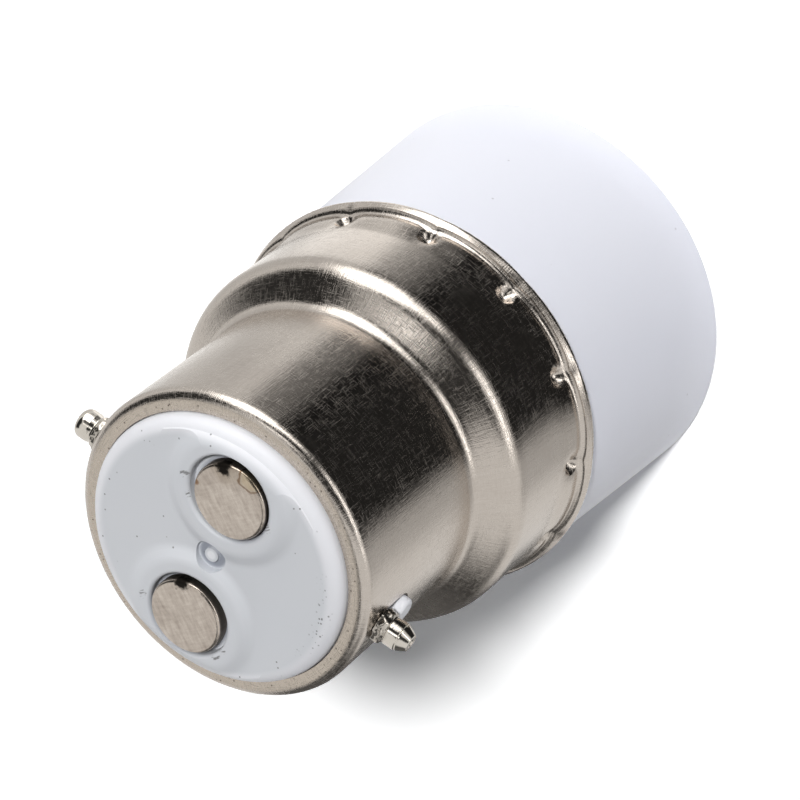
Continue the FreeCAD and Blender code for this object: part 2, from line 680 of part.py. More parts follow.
def main():
    os.makedirs("parts", exist_ok=True)
    for name, shape in build().items():
        if len(shape.Solids) != 1 or not shape.isValid():
            print("CHECK", name, "solids", len(shape.Solids), "valid", shape.isValid())
        shape.exportStep("parts/%s.step" % name)
        bounds = shape.BoundBox
        print("%-24s volume %9.2f  z %6.2f to %6.2f" % (name, shape.Volume, bounds.ZMin, bounds.ZMax))


main()
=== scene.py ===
# %% [markdown]
# # A lamp socket adapter, dressed over its packed frame
# The adapter lets a screw-cap bulb hang in a bayonet lamp holder. It is a white moulding with a
# rolled screw sleeve inside, and a nickel-plated cap is crimped on to its neck. The packed model
# already has every solid at its true place, so this lesson only adds what a pressing, a turned pin
# and a worn finish show close up. All sizes below are in millimetres and are turned into metres
# once, when a shape is made.

# %% Load the frame
import bpy
import bmesh
import math
from mathutils import Matrix, Vector


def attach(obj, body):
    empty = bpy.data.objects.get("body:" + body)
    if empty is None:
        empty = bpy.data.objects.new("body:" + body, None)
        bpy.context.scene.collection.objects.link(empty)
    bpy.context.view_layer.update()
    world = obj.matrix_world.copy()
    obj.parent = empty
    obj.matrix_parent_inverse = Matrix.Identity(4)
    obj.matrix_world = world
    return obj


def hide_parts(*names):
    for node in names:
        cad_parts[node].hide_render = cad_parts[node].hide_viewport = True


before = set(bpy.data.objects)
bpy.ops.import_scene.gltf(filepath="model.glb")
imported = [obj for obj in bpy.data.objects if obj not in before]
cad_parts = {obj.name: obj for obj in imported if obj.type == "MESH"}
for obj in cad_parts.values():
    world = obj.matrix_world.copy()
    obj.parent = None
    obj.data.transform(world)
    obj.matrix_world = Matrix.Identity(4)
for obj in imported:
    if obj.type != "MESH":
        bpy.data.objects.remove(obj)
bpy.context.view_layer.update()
bpy.ops.object.select_all(action="DESELECT")
MM = 0.001

# %% [markdown]
# ## The camera
# The photograph was taken from close to the bayonet end with a long lens, and the adapter lies
# askew in the picture. The camera's place and its three directions come from fitting circles of
# known size (the cap's face, its shoulder, the flange and the mouth) to their ellipses in the
# picture. A matrix holds such a fit exactly, where a look-at point would lose the roll.

# %% Camera
CAMERA_PLACE = Vector((58.1, 133.69, 180.14)) * MM
PICTURE_RIGHT = Vector((0.80576, 0.27902, -0.52239))
PICTURE_UP = Vector((-0.52814, 0.73766, -0.42063))
PICTURE_BACK = Vector((0.26798, 0.61483, 0.74174))
FOCAL_PIXELS = 3144.6
PICTURE_PIXELS = 800

bpy.ops.object.camera_add()
camera = bpy.context.object
camera.name = "photo_camera"
turn = Matrix((PICTURE_RIGHT, PICTURE_UP, PICTURE_BACK)).transposed().to_4x4()
camera.matrix_world = Matrix.Translation(CAMERA_PLACE) @ turn
camera.data.sensor_width = 36.0
camera.data.lens = camera.data.sensor_width * FOCAL_PIXELS / PICTURE_PIXELS
camera.data.clip_start = 0.01
bpy.context.scene.camera = camera
bpy.context.scene.view_settings.view_transform = "Standard"
print("lens", round(camera.data.lens, 1), "mm")

# %% [markdown]
# ## Shader sums
# A finish is mostly arithmetic: this mask times that noise, plus a little more. Nodes can do it,
# but twenty Math nodes hide the idea. This class wraps one socket, so that a line such as
# 0.2 + 0.1 * grain adds the nodes by itself and stays readable.


# %% One class for sockets
class Tone:
    """One socket of a node tree that can be used in sums."""

    def __init__(self, tree, socket=None):
        self.tree = tree
        self.socket = socket

    def node(self, kind, settings=None, sockets=None, out=0):
        """A new node of a kind, with its settings and then its sockets filled or linked."""
        made = self.tree.nodes.new(kind)
        for name, value in (settings or {}).items():
            setattr(made, name, value)
        for name, value in (sockets or {}).items():
            if isinstance(value, Tone):
                self.tree.links.new(value.socket, made.inputs[name])
            else:
                made.inputs[name].default_value = value
        return Tone(self.tree, made.outputs[out])

    def math(self, operation, *values):
        """One Math node on tones and numbers."""
        return self.node("ShaderNodeMath", {"operation": operation}, dict(enumerate(values)))

    def __add__(self, other):
        return self.math("ADD", self, other)

    def __radd__(self, other):
        return self.math("ADD", other, self)

    def __sub__(self, other):
        return self.math("SUBTRACT", self, other)

    def __rsub__(self, other):
        return self.math("SUBTRACT", other, self)

    def __mul__(self, other):
        return self.math("MULTIPLY", self, other)

    def __rmul__(self, other):
        return self.math("MULTIPLY", other, self)

    def ramp(self, low, high):
        """A soft step from 0 at low to 1 at high. Low may be the larger of the two."""
        sockets = {"Value": self, "From Min": low, "From Max": high, "To Min": 0.0, "To Max": 1.0}
        return self.node("ShaderNodeMapRange", {"interpolation_type": "SMOOTHSTEP"}, sockets)

    def blend(self, first, second):
        """The first colour where this tone is 0 and the second where it is 1."""
        sockets = {0: self, 6: first, 7: second}
        return self.node("ShaderNodeMix", {"data_type": "RGBA"}, sockets, 2)


def new_finish(name):
    """A new material: its object position as a tone, its Principled shader and itself."""
    material = bpy.data.materials.new(name)
    material.use_nodes = True
    tree = material.node_tree
    place = Tone(tree).node("ShaderNodeTexCoord", out="Object")
    return place, tree.nodes["Principled BSDF"], material


def wire(tone, shader, entry):
    """Lead a tone into one of the shader's sockets."""
    tone.tree.links.new(tone.socket, shader.inputs[entry])


def noise(place, scale, detail=2.0, stretch=(1.0, 1.0, 1.0)):
    """Noise from -0.5 to 0.5 whose grains are about 1 / scale metres, stretched by axis."""
    stretched = place.node("ShaderNodeMapping", None, {"Vector": place, "Scale": stretch})
    sockets = {"Vector": stretched, "Scale": scale, "Detail": detail}
    return place.node("ShaderNodeTexNoise", None, sockets, "Fac") - 0.5


def away(place, x, y, z):
    """How far each point is from a place given in millimetres, in millimetres."""
    there = (x * MM, y * MM, z * MM)
    ends = {0: place, 1: there}
    gap = place.node("ShaderNodeVectorMath", {"operation": "DISTANCE"}, ends, "Value")
    return gap * (1.0 / MM)


def across(place):
    """The distance from the adapter's axis in millimetres."""
    flat = place.node("ShaderNodeVectorMath", {"operation": "MULTIPLY"}, {0: place, 1: (1, 1, 0)})
    length = place.node("ShaderNodeVectorMath", {"operation": "LENGTH"}, {0: flat}, "Value")
    return length * (1.0 / MM)


def height(place):
    """The height above the floor in millimetres."""
    return place.node("ShaderNodeSeparateXYZ", None, {0: place}, 2) * (1.0 / MM)


def hairlines(place, per_turn, per_mm):
    """Noise on a round piece: fine round the turn makes lines along it, fine per mm makes rings."""
    flat = place.node("ShaderNodeVectorMath", {"operation": "MULTIPLY"}, {0: place, 1: (1, 1, 0)})
    facing = place.node("ShaderNodeVectorMath", {"operation": "NORMALIZE"}, {0: flat})
    level = place.node("ShaderNodeCombineXYZ", None, {2: (height(place) - across(place)) * per_mm})
    spread = {0: facing, 1: (per_turn, per_turn, per_turn), 2: level}
    drawn = place.node("ShaderNodeVectorMath", {"operation": "MULTIPLY_ADD"}, spread)
    sockets = {"Vector": drawn, "Scale": 1.0, "Detail": 3.0}
    return place.node("ShaderNodeTexNoise", None, sockets, "Fac") - 0.5


def specks(place, scale, share, size):
    """Small dark dots: one in each cell of a Voronoi pattern, kept in a share of the cells."""
    cell = {"Vector": place, "Scale": scale}
    near = place.node("ShaderNodeTexVoronoi", None, cell, "Distance").ramp(size, size * 0.5)
    chosen = place.node("ShaderNodeTexVoronoi", None, cell, "Color")
    chosen = place.node("ShaderNodeSeparateColor", None, {0: chosen}, 0).ramp(share, share * 0.9)
    return near * chosen


def grain(shader, tone, depth):
    """A bump of a few thousandths of a millimetre from a height between -0.5 and 0.5."""
    sockets = {"Strength": 1.0, "Distance": depth * MM, "Height": tone}
    bump = tone.node("ShaderNodeBump", None, sockets)
    wire(bump, shader, "Normal")


print("shader sums ready:", len(vars(Tone)), "entries in the class")

# %% [markdown]
# ## The white studio
# The picture is a pack shot: a pure white ground, a soft shadow beside the object, and dark
# stripes in the metal that come from dark card held near it. Here the floor is plain and pale and
# takes the shadow, and what the camera, the metal and the plastic's gloss see of it is lifted to
# white. The lamps stay at a plain level, so that a colour renders about as it is written.

# %% Floor and world
FLOOR_SIZE = 8.0
bpy.ops.mesh.primitive_plane_add(size=FLOOR_SIZE, location=(0, 0, 0))
floor = bpy.context.object
floor.name = "studio_floor"

pale = bpy.data.materials.new("pale_floor")
pale.use_nodes = True
pale.node_tree.nodes.clear()
start = Tone(pale.node_tree)
sight = start.node("ShaderNodeLightPath", out="Is Camera Ray")
sight = sight + start.node("ShaderNodeLightPath", out="Is Glossy Ray")
sight = sight + start.node("ShaderNodeLightPath", out="Is Transmission Ray")
matt = start.node("ShaderNodeBsdfDiffuse", None, {"Color": (0.86, 0.86, 0.87, 1)})
white = start.node("ShaderNodeBsdfDiffuse", None, {"Color": (1.5, 1.5, 1.5, 1)})
whole = start.node("ShaderNodeMixShader", None, {0: sight, 1: matt, 2: white})
output = pale.node_tree.nodes.new("ShaderNodeOutputMaterial")
pale.node_tree.links.new(whole.socket, output.inputs["Surface"])
floor.data.materials.append(pale)

world = bpy.data.worlds.new("white_room")
world.use_nodes = True
world.node_tree.nodes.clear()
bpy.context.scene.world = world
start = Tone(world.node_tree)
sight = start.node("ShaderNodeLightPath", out="Is Camera Ray")
sight = sight + start.node("ShaderNodeLightPath", out="Is Glossy Ray")
sight = sight + start.node("ShaderNodeLightPath", out="Is Transmission Ray")
room = start.node("ShaderNodeBackground", None, {"Color": (0.92, 0.95, 1, 1), "Strength": 0.05})
white = start.node("ShaderNodeBackground", None, {"Color": (1, 1, 1, 1), "Strength": 1.0})
both = start.node("ShaderNodeMixShader", None, {0: sight, 1: room, 2: white})
output = world.node_tree.nodes.new("ShaderNodeOutputWorld")
world.node_tree.links.new(both.socket, output.inputs["Surface"])
print("floor", FLOOR_SIZE, "m wide, world", world.name)

# %% [markdown]
# ## Lamps and the room that the metal sees
# The key lamp stands half high and a little to the left of the camera, so a soft shadow falls at
# the lower right. Three weaker lamps stand so low that they light the upright walls and hardly
# the floor: a wide one at the left, one at the lower right and one behind. Metal shows its
# surroundings more than its own colour, so a photographer shapes them: dark card in front makes
# the stripe down the barrel, and bright strips draw the thin white lines on the bends. Real cards
# would also shade the floor. Here one dome carries all of these as soft patches placed by azimuth
# and elevation, and only reflections see it: it throws no light or shadow of its own.


# %% Lamps
def lamp(name, azimuth, elevation, strength, spread, shiny):
    """A distant soft lamp that shines from a direction, given in degrees."""
    bpy.ops.object.light_add(type="SUN")
    made = bpy.context.object
    made.name = name
    turned, raised = math.radians(azimuth), math.radians(elevation)
    flat = math.cos(raised)
    away_from = Vector((flat * math.cos(turned), flat * math.sin(turned), math.sin(raised)))
    made.matrix_world = away_from.to_track_quat("Z", "Y").to_matrix().to_4x4()
    made.data.energy = strength
    made.data.angle = math.radians(spread)
    made.visible_glossy = shiny
    print(name, strength)
    return made


lamp("key_lamp", 83, 50.3, 2.5, 9, False)
lamp("fill_left", 150, 4, 1.35, 50, False)
lamp("fill_right", -40, 2, 0.28, 6, False)
lamp("fill_back", 255, 6, 0.9, 16, False)

# %% Room for the metal to see
DOME_R = 350
DOME_FOOT_Z = 0.3
SKIRTING_SHARE = 0.05
bpy.ops.mesh.primitive_uv_sphere_add(
    segments=96, ring_count=48, radius=DOME_R * MM, location=(0, 0, 0))
dome = bpy.context.object
dome.name = "reflection_dome"
bpy.ops.object.mode_set(mode="EDIT")
bpy.ops.mesh.bisect(plane_co=(0, 0, DOME_FOOT_Z * MM), plane_no=(0, 0, 1), clear_inner=True)
bpy.ops.mesh.extrude_edges_move()
bpy.ops.transform.resize(value=(SKIRTING_SHARE, SKIRTING_SHARE, 1))
bpy.ops.object.mode_set(mode="OBJECT")
dome.visible_camera = False
dome.visible_diffuse = False
dome.visible_shadow = False
dome.visible_transmission = False
dome.visible_volume_scatter = False

# %% Patches of the room
MIDDLE_Z = 30
room = bpy.data.materials.new("room_patches")
room.use_nodes = True
room.node_tree.nodes.clear()
place = Tone(room.node_tree).node("ShaderNodeTexCoord", out="Object")
x = place.node("ShaderNodeSeparateXYZ", None, {0: place}, 0)
y = place.node("ShaderNodeSeparateXYZ", None, {0: place}, 1)
z = place.node("ShaderNodeSeparateXYZ", None, {0: place}, 2)
flat = x.math("SQRT", x * x + y * y)
azimuth = x.math("ARCTAN2", 0.0 - x, y) * math.degrees(1) + 90
elevation = x.math("ARCTAN2", z - MIDDLE_Z * MM, flat) * math.degrees(1)


def patch(left, right, side_blur, low, high, rise_blur):
    """A soft-edged patch of the room, from 0 to 1, between azimuths and elevations in degrees."""
    sides = azimuth.ramp(left - side_blur, left + side_blur)
    sides = sides * azimuth.ramp(right + side_blur, right - side_blur)
    heights = elevation.ramp(low - rise_blur, low + rise_blur)
    heights = heights * elevation.ramp(high + rise_blur, high - rise_blur)
    return sides * heights


# The pale room, and how it fades at the lower right and behind
level = 0.12 + 0.68 * patch(-53, 400, 8, -100, 100, 1)
level = level - 0.28 * patch(-12, 20, 9, -100, -15, 6)
level = level + 0.45 * patch(190, 250, 20, -100, -36, 8)
# Dark card that the upright walls reflect, with a paler slit at its left
level = level * (1.0 - 0.975 * patch(14, 104, 8, -100, -9, 7))
level = level * (1.0 - 0.78 * patch(92, 128, 7, -100, -24, 6))
level = level + 0.2 * patch(88, 122, 6, -100, -47.6, 0.5)
# Dark card that the shoulder's slope reflects, at the front and at the left
level = level * (1.0 - 0.95 * patch(18, 124, 9, 26, 120, 4))
level = level * (1.0 - 0.96 * patch(138, 216, 7, 11, 58, 5))
# The walls at the far left, and a dark edge for the flange and for the slope
level = level - 0.16 * patch(140, 205, 12, -42, -6, 4)
level = level + 0.45 * patch(116, 175, 9, -100, -42.5, 3)
level = level * (1.0 - 0.62 * patch(-66, -34, 6, -6, 24, 5))
level = level * (1.0 - 0.85 * patch(60, 82, 4, -9, 26, 4))
# Bright strips that draw the white lines on the bends and the rims
level = level + 3.8 * patch(14, 60, 6, 7.4, 11.6, 1.6)
level = level + 3.2 * patch(82, 118, 4, 6, 12.4, 2)
level = level + 2.4 * patch(104, 138, 6, -14, 32, 4)
level = level + 2.2 * patch(89, 127, 8, 55, 66, 5)

# %% Glow of the room
glow = place.node("ShaderNodeEmission", None, {"Color": (1, 0.985, 0.96, 1), "Strength": level})
output = room.node_tree.nodes.new("ShaderNodeOutputMaterial")
room.node_tree.links.new(glow.socket, output.inputs["Surface"])
dome.data.materials.append(room)
print("dome points", len(dome.data.vertices))

# %% [markdown]
# ## Turned and pressed shapes
# Nearly every piece here is round: it was turned on a lathe, or drawn from sheet in a round die.
# So each one starts as its half section, drawn point by point with extrude, and the Spin tool
# turns that line once round. The corners are rounded beforehand in plain Python, because the
# section of a pressing is a chain of straight runs and arcs.


# %% Half sections
def rounded(corners, arc_steps=8):
    """Points of a closed section from corners (across, along, radius, longest step after it)."""
    stops = []
    count = len(corners)
    for i, (across_mm, along_mm, radius, step) in enumerate(corners):
        here = Vector((across_mm, along_mm))
        before = Vector(corners[i - 1][:2])
        after = Vector(corners[(i + 1) % count][:2])
        if radius == 0:
            stops.append((here, step))
            continue
        back = (before - here).normalized()
        ahead = (after - here).normalized()
        half = back.angle(ahead) / 2
        centre = here + (back + ahead).normalized() * (radius / math.sin(half))
        first = here + back * (radius / math.tan(half)) - centre
        last = here + ahead * (radius / math.tan(half)) - centre
        sweep = first.angle_signed(last)
        for k in range(arc_steps + 1):
            turned = Matrix.Rotation(-sweep * k / arc_steps, 2) @ first
            stops.append((centre + turned, radius if k < arc_steps else step))
    points = []
    for i, (here, step) in enumerate(stops):
        after = stops[(i + 1) % len(stops)][0]
        pieces = max(1, math.ceil((after - here).length / step))
        points += [here.lerp(after, k / pieces) for k in range(pieces)]
    return points


def begin(name):
    """A new object that is a single point at the origin, left in edit mode."""
    bpy.ops.object.select_all(action="DESELECT")
    bpy.ops.mesh.primitive_plane_add(size=MM, location=(0, 0, 0))
    piece = bpy.context.object
    piece.name = name
    piece.data.name = name
    bpy.ops.object.mode_set(mode="EDIT")
    bpy.ops.mesh.select_all(action="SELECT")
    bpy.ops.mesh.merge(type="CENTER")
    return piece


def spin_up(name, points, columns, centre=(0, 0, 0), axis="Z"):
    """Draw a closed half section point by point, spin it once round and close it."""
    piece = begin(name)
    swap = {"Z": lambda p: Vector((p[0], 0, p[1])), "X": lambda p: Vector((p[1], 0, p[0]))}[axis]
    way = [Vector(centre) * MM + swap(point) * MM for point in points]
    bpy.ops.transform.translate(value=way[0])
    for before, here in zip(way, way[1:]):
        bpy.ops.mesh.extrude_vertices_move(TRANSFORM_OT_translate={"value": here - before})
    sheet = bmesh.from_edit_mesh(piece.data)
    sheet.verts.ensure_lookup_table()
    sheet.edges.new((sheet.verts[0], sheet.verts[-1]))
    bmesh.update_edit_mesh(piece.data)
    bpy.ops.mesh.select_all(action="SELECT")
    turn_axis = {"Z": (0, 0, 1), "X": (1, 0, 0)}[axis]
    bpy.ops.mesh.spin(steps=columns, angle=2 * math.pi, center=Vector(centre) * MM, axis=turn_axis)
    bpy.ops.mesh.select_all(action="SELECT")
    bpy.ops.mesh.remove_doubles(threshold=0.002 * MM)
    bpy.ops.mesh.select_all(action="SELECT")
    bpy.ops.mesh.delete_loose()
    bpy.ops.mesh.select_all(action="SELECT")
    bpy.ops.mesh.normals_make_consistent(inside=False)
    return piece


def pick(piece, test):
    """In edit mode, select the points whose place in millimetres passes a test."""
    mesh = bmesh.from_edit_mesh(piece.data)
    mesh.select_mode = {"VERT"}
    for point in mesh.verts:
        point.select_set(test(point.co / MM))
    mesh.select_flush_mode()
    bmesh.update_edit_mesh(piece.data)
    return sum(point.select for point in mesh.verts)


def finish(piece, material, body, slot_name, *nodes, smooth=35.0):
    """Leave edit mode, shade the piece and tie it to the frame."""
    bpy.ops.object.mode_set(mode="OBJECT")
    bpy.ops.object.select_all(action="DESELECT")
    piece.select_set(True)
    bpy.context.view_layer.objects.active = piece
    bpy.ops.object.shade_smooth_by_angle(angle=math.radians(smooth))
    piece.data.materials.append(material)
    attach(piece, body)
    if nodes:
        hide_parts(*nodes)
    print(piece.name, "faces", len(piece.data.polygons))


square = rounded([(0, 0, 0.5, 1.0), (2, 0, 0, 1.0), (2, 2, 0, 1.0), (0, 2, 0, 1.0)])
print("a 2 mm square with one rounded corner has", len(square), "points")

# %% [markdown]
# ## Nickel plate, finely brushed
# The cap is pressed from brass sheet, polished with abrasive and plated with nickel. The abrasive
# leaves two sets of hairlines: along the barrel and around it. Each set is noise that is fine in
# one direction and long in the other, and because it reads the plain object position it has no
# seam anywhere. A strong bump blurs the whole sheet's shine, so the groove is shallow and the line
# is mostly a change of roughness: rougher hairs on a smooth sheet. The flat end face isn't
# brushed: it is duller, warmer and has tiny specks.

# %% Brushed nickel
place, shader, nickel = new_finish("brushed_nickel")
along = hairlines(place, 180, 1.1)
around = hairlines(place, 15, 15.5)
streaks = hairlines(place, 70, 0.15)
cloud = noise(place, 260, 3.0)
end_face = height(place).ramp(41.0, 41.08) * across(place).ramp(10.6, 10.4)
dots = specks(place, 2600, 0.5, 0.22)
lines = along + around + streaks * 0.5
tone = 0.5 + 0.5 * cloud + 0.8 * lines
colour = tone.blend((0.535, 0.485, 0.44, 1), (0.71, 0.658, 0.608, 1))
colour = (end_face * 0.7).blend(colour, (0.60, 0.53, 0.455, 1))
colour = (end_face * dots * 0.8).blend(colour, (0.09, 0.07, 0.055, 1))
wire(colour, shader, "Base Color")
hatch = along.math("MAXIMUM", along, around).ramp(0.04, 0.13) * (0.8 + 1.4 * cloud)
wire(0.09 + 0.05 * cloud + 0.27 * hatch + 0.16 * end_face, shader, "Roughness")
shader.inputs["Metallic"].default_value = 1.0
grain(shader, lines, 0.009)
print("nickel nodes", len(nickel.node_tree.nodes))

# %% [markdown]
# ## The pressed cap
# One piece of sheet makes the face rim, the barrel, the shoulder, the skirt and the turned-out
# flange, which droops a little over the holder's shoulder. Spinning the sheet's closed section
# gives both walls at once with an even thickness, where a Solidify modifier would thin the sheet
# at the bends. The section has more points where the crimps will be pressed in, and the number of
# columns is a multiple of the thirteen crimps, so that each crimp meets the mesh in the same way.

# %% Cap section
SHEET = 0.35
BARREL_R = 11.05
SKIRT_R = 13.6
FACE_Z = 41.1
SHOULDER_TOP_Z = 27.9
SHOULDER_FOOT_Z = 26.2
FLANGE_Z = 18.0
FLANGE_R = 14.5
FLANGE_BEND_R = 14.0
FLANGE_DROOP = 0.1
HOLDER_CORNER_R = 13.97
FACE_HOLE_R = 9.66
FINE_RINGS_Z = 20.9
CRIMPS = 13
COLUMNS_PER_CRIMP = 38
LEAN = SHEET * math.tan(math.atan2(SKIRT_R - BARREL_R, SHOULDER_TOP_Z - SHOULDER_FOOT_Z) / 2)
cap_section = rounded([
    (FACE_HOLE_R, FACE_Z, 0.04, 0.5),
    (BARREL_R, FACE_Z, 0.75, 0.5),
    (BARREL_R, SHOULDER_TOP_Z, 1.2, 1.0),
    (SKIRT_R, SHOULDER_FOOT_Z, 1.8, 0.5),
    (SKIRT_R, FINE_RINGS_Z, 0, 0.16),
    (SKIRT_R, FLANGE_Z + SHEET, 0.42, 0.25),
    (FLANGE_BEND_R, FLANGE_Z + SHEET, 0.15, 0.25),
    (FLANGE_R, FLANGE_Z - FLANGE_DROOP, 0.15, 0.25),
    (FLANGE_R - 0.2, FLANGE_Z - FLANGE_DROOP - 0.28, 0.13, 0.25),
    (HOLDER_CORNER_R, FLANGE_Z, 0, 0.5),
    (SKIRT_R - SHEET, FLANGE_Z, 0.15, 0.5),
    (SKIRT_R - SHEET, SHOULDER_FOOT_Z - LEAN, 1.45, 1.0),
    (BARREL_R - SHEET, SHOULDER_TOP_Z - LEAN, 1.55, 1.0),
    (BARREL_R - SHEET, FACE_Z - SHEET, 0.4, 0.5),
    (FACE_HOLE_R, FACE_Z - SHEET, 0.04, 0.2),
])
cap = spin_up("cap_pressing", cap_section, CRIMPS * COLUMNS_PER_CRIMP)
print("section points", len(cap_section))

# %% [markdown]
# ## Thirteen crimps
# A tool with thirteen fingers presses the skirt into the neck's groove. Each finger leaves a
# small round pit just above the flange, and the foot of the skirt stays bowed out from one pit to
# the next, which makes the scalloped line of light with a cusp at every pit. Proportional editing
# can't make a cusp: its falloff is round in every direction. So this is the one shape here that
# is moved point by point with a formula, as a press tool's own drawing would give it.

# %% Crimps
FIRST_CRIMP = 16.3
PIT_Z = 19.35
PIT_R = 0.64
PIT_DEPTH = 0.5
HOLLOW_R = 1.3
HOLLOW_DEPTH = 0.12
BOW = 0.3
BOW_FULL_Z = 18.9
BOW_END_Z = 20.8
FILLET_END_R = 14.02


def crimp_shift(point):
    """How far out one point of the skirt moves, in millimetres."""
    radius = math.hypot(point.x, point.y)
    if point.z > BOW_END_Z:
        return 0.0
    spacing = 2 * math.pi / CRIMPS
    turned = (math.atan2(point.y, point.x) - math.radians(FIRST_CRIMP)) % spacing
    along = min(turned, spacing - turned) * SKIRT_R
    half = spacing * SKIRT_R / 2
    rise = min(1.0, max(0.0, (BOW_END_Z - point.z) / (BOW_END_Z - BOW_FULL_Z)))
    flat = min(1.0, max(0.0, (FLANGE_R - radius) / (FLANGE_R - FILLET_END_R)))
    bow = BOW * math.sqrt(1 - ((half - along) / half) ** 2) * rise * rise * (3 - 2 * rise) * flat
    gap = math.hypot(along, point.z - PIT_Z)
    pit = PIT_DEPTH * math.sqrt(max(0.0, 1 - (gap / PIT_R) ** 2))
    hollow = HOLLOW_DEPTH * max(0.0, 1 - (gap / HOLLOW_R) ** 2) ** 2
    return bow - (pit + hollow) * (radius < SKIRT_R + 0.01)


skirt = bmesh.from_edit_mesh(cap.data)
moved = 0
for point in skirt.verts:
    shift = crimp_shift(point.co / MM)
    if shift:
        outward = Vector((point.co.x, point.co.y, 0)).normalized()
        point.co += outward * shift * MM
        moved += 1
bmesh.update_edit_mesh(cap.data)
print("points moved by the crimps", moved)

# %% [markdown]
# ## Pin slots
# Each side of the barrel has an upright slot with round ends. The steel pin passes through its
# upper part and the insulator's white peg through its lower part. A cylinder is laid across the
# wall, its lower half is moved down to stretch it into a slot, and a Boolean modifier takes it
# away from the cap.

# %% Slots
PIN_Z = 38.5
PEG_Z = 36.3
SLOT_HALF = 1.1
SLOT_PAST_PEG = 0.12
CUTTER_X = 11
CUTTER_LENGTH = 3


def slot_cutter(side):
    """A round-ended bar through one wall of the barrel."""
    bpy.ops.object.mode_set(mode="OBJECT")
    bpy.ops.object.select_all(action="DESELECT")
    bpy.ops.mesh.primitive_cylinder_add(
        vertices=48, radius=SLOT_HALF * MM, depth=CUTTER_LENGTH * MM,
        location=(side * CUTTER_X * MM, 0, PIN_Z * MM), rotation=(0, math.pi / 2, 0))
    cutter = bpy.context.object
    bpy.ops.object.transform_apply(location=True, rotation=True, scale=True)
    bpy.ops.object.mode_set(mode="EDIT")
    pick(cutter, lambda p: p.z < PIN_Z - 0.01)
    bpy.ops.transform.translate(value=(0, 0, (PEG_Z + SLOT_PAST_PEG - PIN_Z) * MM))
    bpy.ops.object.mode_set(mode="OBJECT")
    return cutter


def cut_away(piece, cutter):
    """Take one shape away from another for good."""
    bpy.ops.object.select_all(action="DESELECT")
    bpy.context.view_layer.objects.active = piece
    piece.select_set(True)
    cut = piece.modifiers.new("cut", "BOOLEAN")
    cut.operation = "DIFFERENCE"
    cut.object = cutter
    cut.solver = "EXACT"
    bpy.ops.object.modifier_apply(modifier="cut")
    bpy.data.objects.remove(cutter, do_unlink=True)


for side in (1, -1):
    cut_away(cap, slot_cutter(side))
finish(cap, nickel, "adapter", "brushed_nickel", "cap_shell", smooth=40.0)

# %% [markdown]
# ## The two pins
# The pins are turned steel, pushed through the wall and staked: a punch crumples the root, so
# that it can't fall out. The right one ends in a cone with a small centre mark, the left one in
# a dome. After spinning, a Displace modifier crumples only the points of the root, which a
# vertex group names.

# %% Pin sizes
ROOT_FROM_X = 11.06
ROOT_TO_X = 11.85
ROOT_CORE_R = 0.85
DENT_SIZE = 0.5
DENT_DEPTH = 0.2


# %% Pins
def pin(name, section, side):
    """One staked pin along X, with its crumpled root."""
    points = rounded(section, 6)
    points = [Vector((point[0], side * point[1])) for point in points]
    piece = spin_up(name, points, 72, centre=(0, 0, PIN_Z), axis="X")
    root = pick(piece, lambda p: ROOT_FROM_X < side * p.x < ROOT_TO_X
                and math.hypot(p.y, p.z - PIN_Z) > ROOT_CORE_R)
    bpy.ops.object.vertex_group_add()
    bpy.ops.object.vertex_group_assign()
    bpy.ops.object.mode_set(mode="OBJECT")
    dents = bpy.data.textures.new(name + "_dents", "VORONOI")
    dents.noise_scale = DENT_SIZE * MM
    dents.distance_metric = "DISTANCE"
    crumple = piece.modifiers.new("crumple", "DISPLACE")
    crumple.texture = dents
    crumple.texture_coords = "LOCAL"
    crumple.vertex_group = piece.vertex_groups[0].name
    crumple.strength = DENT_DEPTH * MM
    crumple.mid_level = 0.7
    bpy.ops.object.modifier_apply(modifier="crumple")
    finish(piece, polished, "adapter", "brushed_nickel", name.replace("_turned", ""), smooth=30.0)
    print("crumpled points", root)


# %% Turned nickel
place, shader, polished = new_finish("turned_nickel")
turning = noise(place, 1.0, 3.0, (6000, 700, 700))
cloud = noise(place, 900, 3.0)
# the pin turns darker and rougher near its root, where it meets the barrel
near_root = (across(place) + 0.9 * cloud).ramp(12.05, 11.45)
colour = (0.5 + cloud).blend((0.66, 0.62, 0.56, 1), (0.80, 0.76, 0.70, 1))
colour = (near_root * 0.35).blend(colour, (0.16, 0.14, 0.12, 1))
wire(colour, shader, "Base Color")
wire(0.10 + 0.06 * cloud + 0.06 * turning + 0.1 * near_root, shader, "Roughness")
shader.inputs["Metallic"].default_value = 1.0
grain(shader, turning + cloud, 0.006)

# %% Both pins, each corner as (radius, distance from the axis, rounding, longest step)
RIGHT_PIN = [
    (0.0, 8.6, 0, 0.5), (0.99, 8.6, 0.05, 0.5), (0.99, 11.0, 0, 0.06), (1.24, 11.08, 0, 0.06),
    (1.18, 11.6, 0.12, 0.06), (0.95, 11.8, 0.08, 0.06), (0.99, 11.9, 0.05, 0.2),
    (0.99, 12.66, 0.03, 0.1), (0.93, 12.71, 0.03, 0.1), (0.93, 12.8, 0.04, 0.2),
    (0.6, 13.42, 0.06, 0.2), (0.3, 13.42, 0.04, 0.1), (0.22, 13.34, 0.03, 0.1), (0.0, 13.34, 0, 9),
]
LEFT_PIN = [
    (0.0, 8.6, 0, 0.5), (1.05, 8.6, 0.05, 0.5), (1.05, 11.0, 0, 0.06), (1.25, 11.08, 0, 0.06),
    (1.2, 11.75, 0.15, 0.06), (0.97, 12.05, 0.12, 0.08), (1.04, 12.4, 0.1, 0.1),
    (1.05, 13.42, 0.55, 0.1), (0.0, 13.42, 0, 9),
]
pin("bayonet_pin_right_turned", RIGHT_PIN, 1)
pin("bayonet_pin_left_turned", LEFT_PIN, -1)
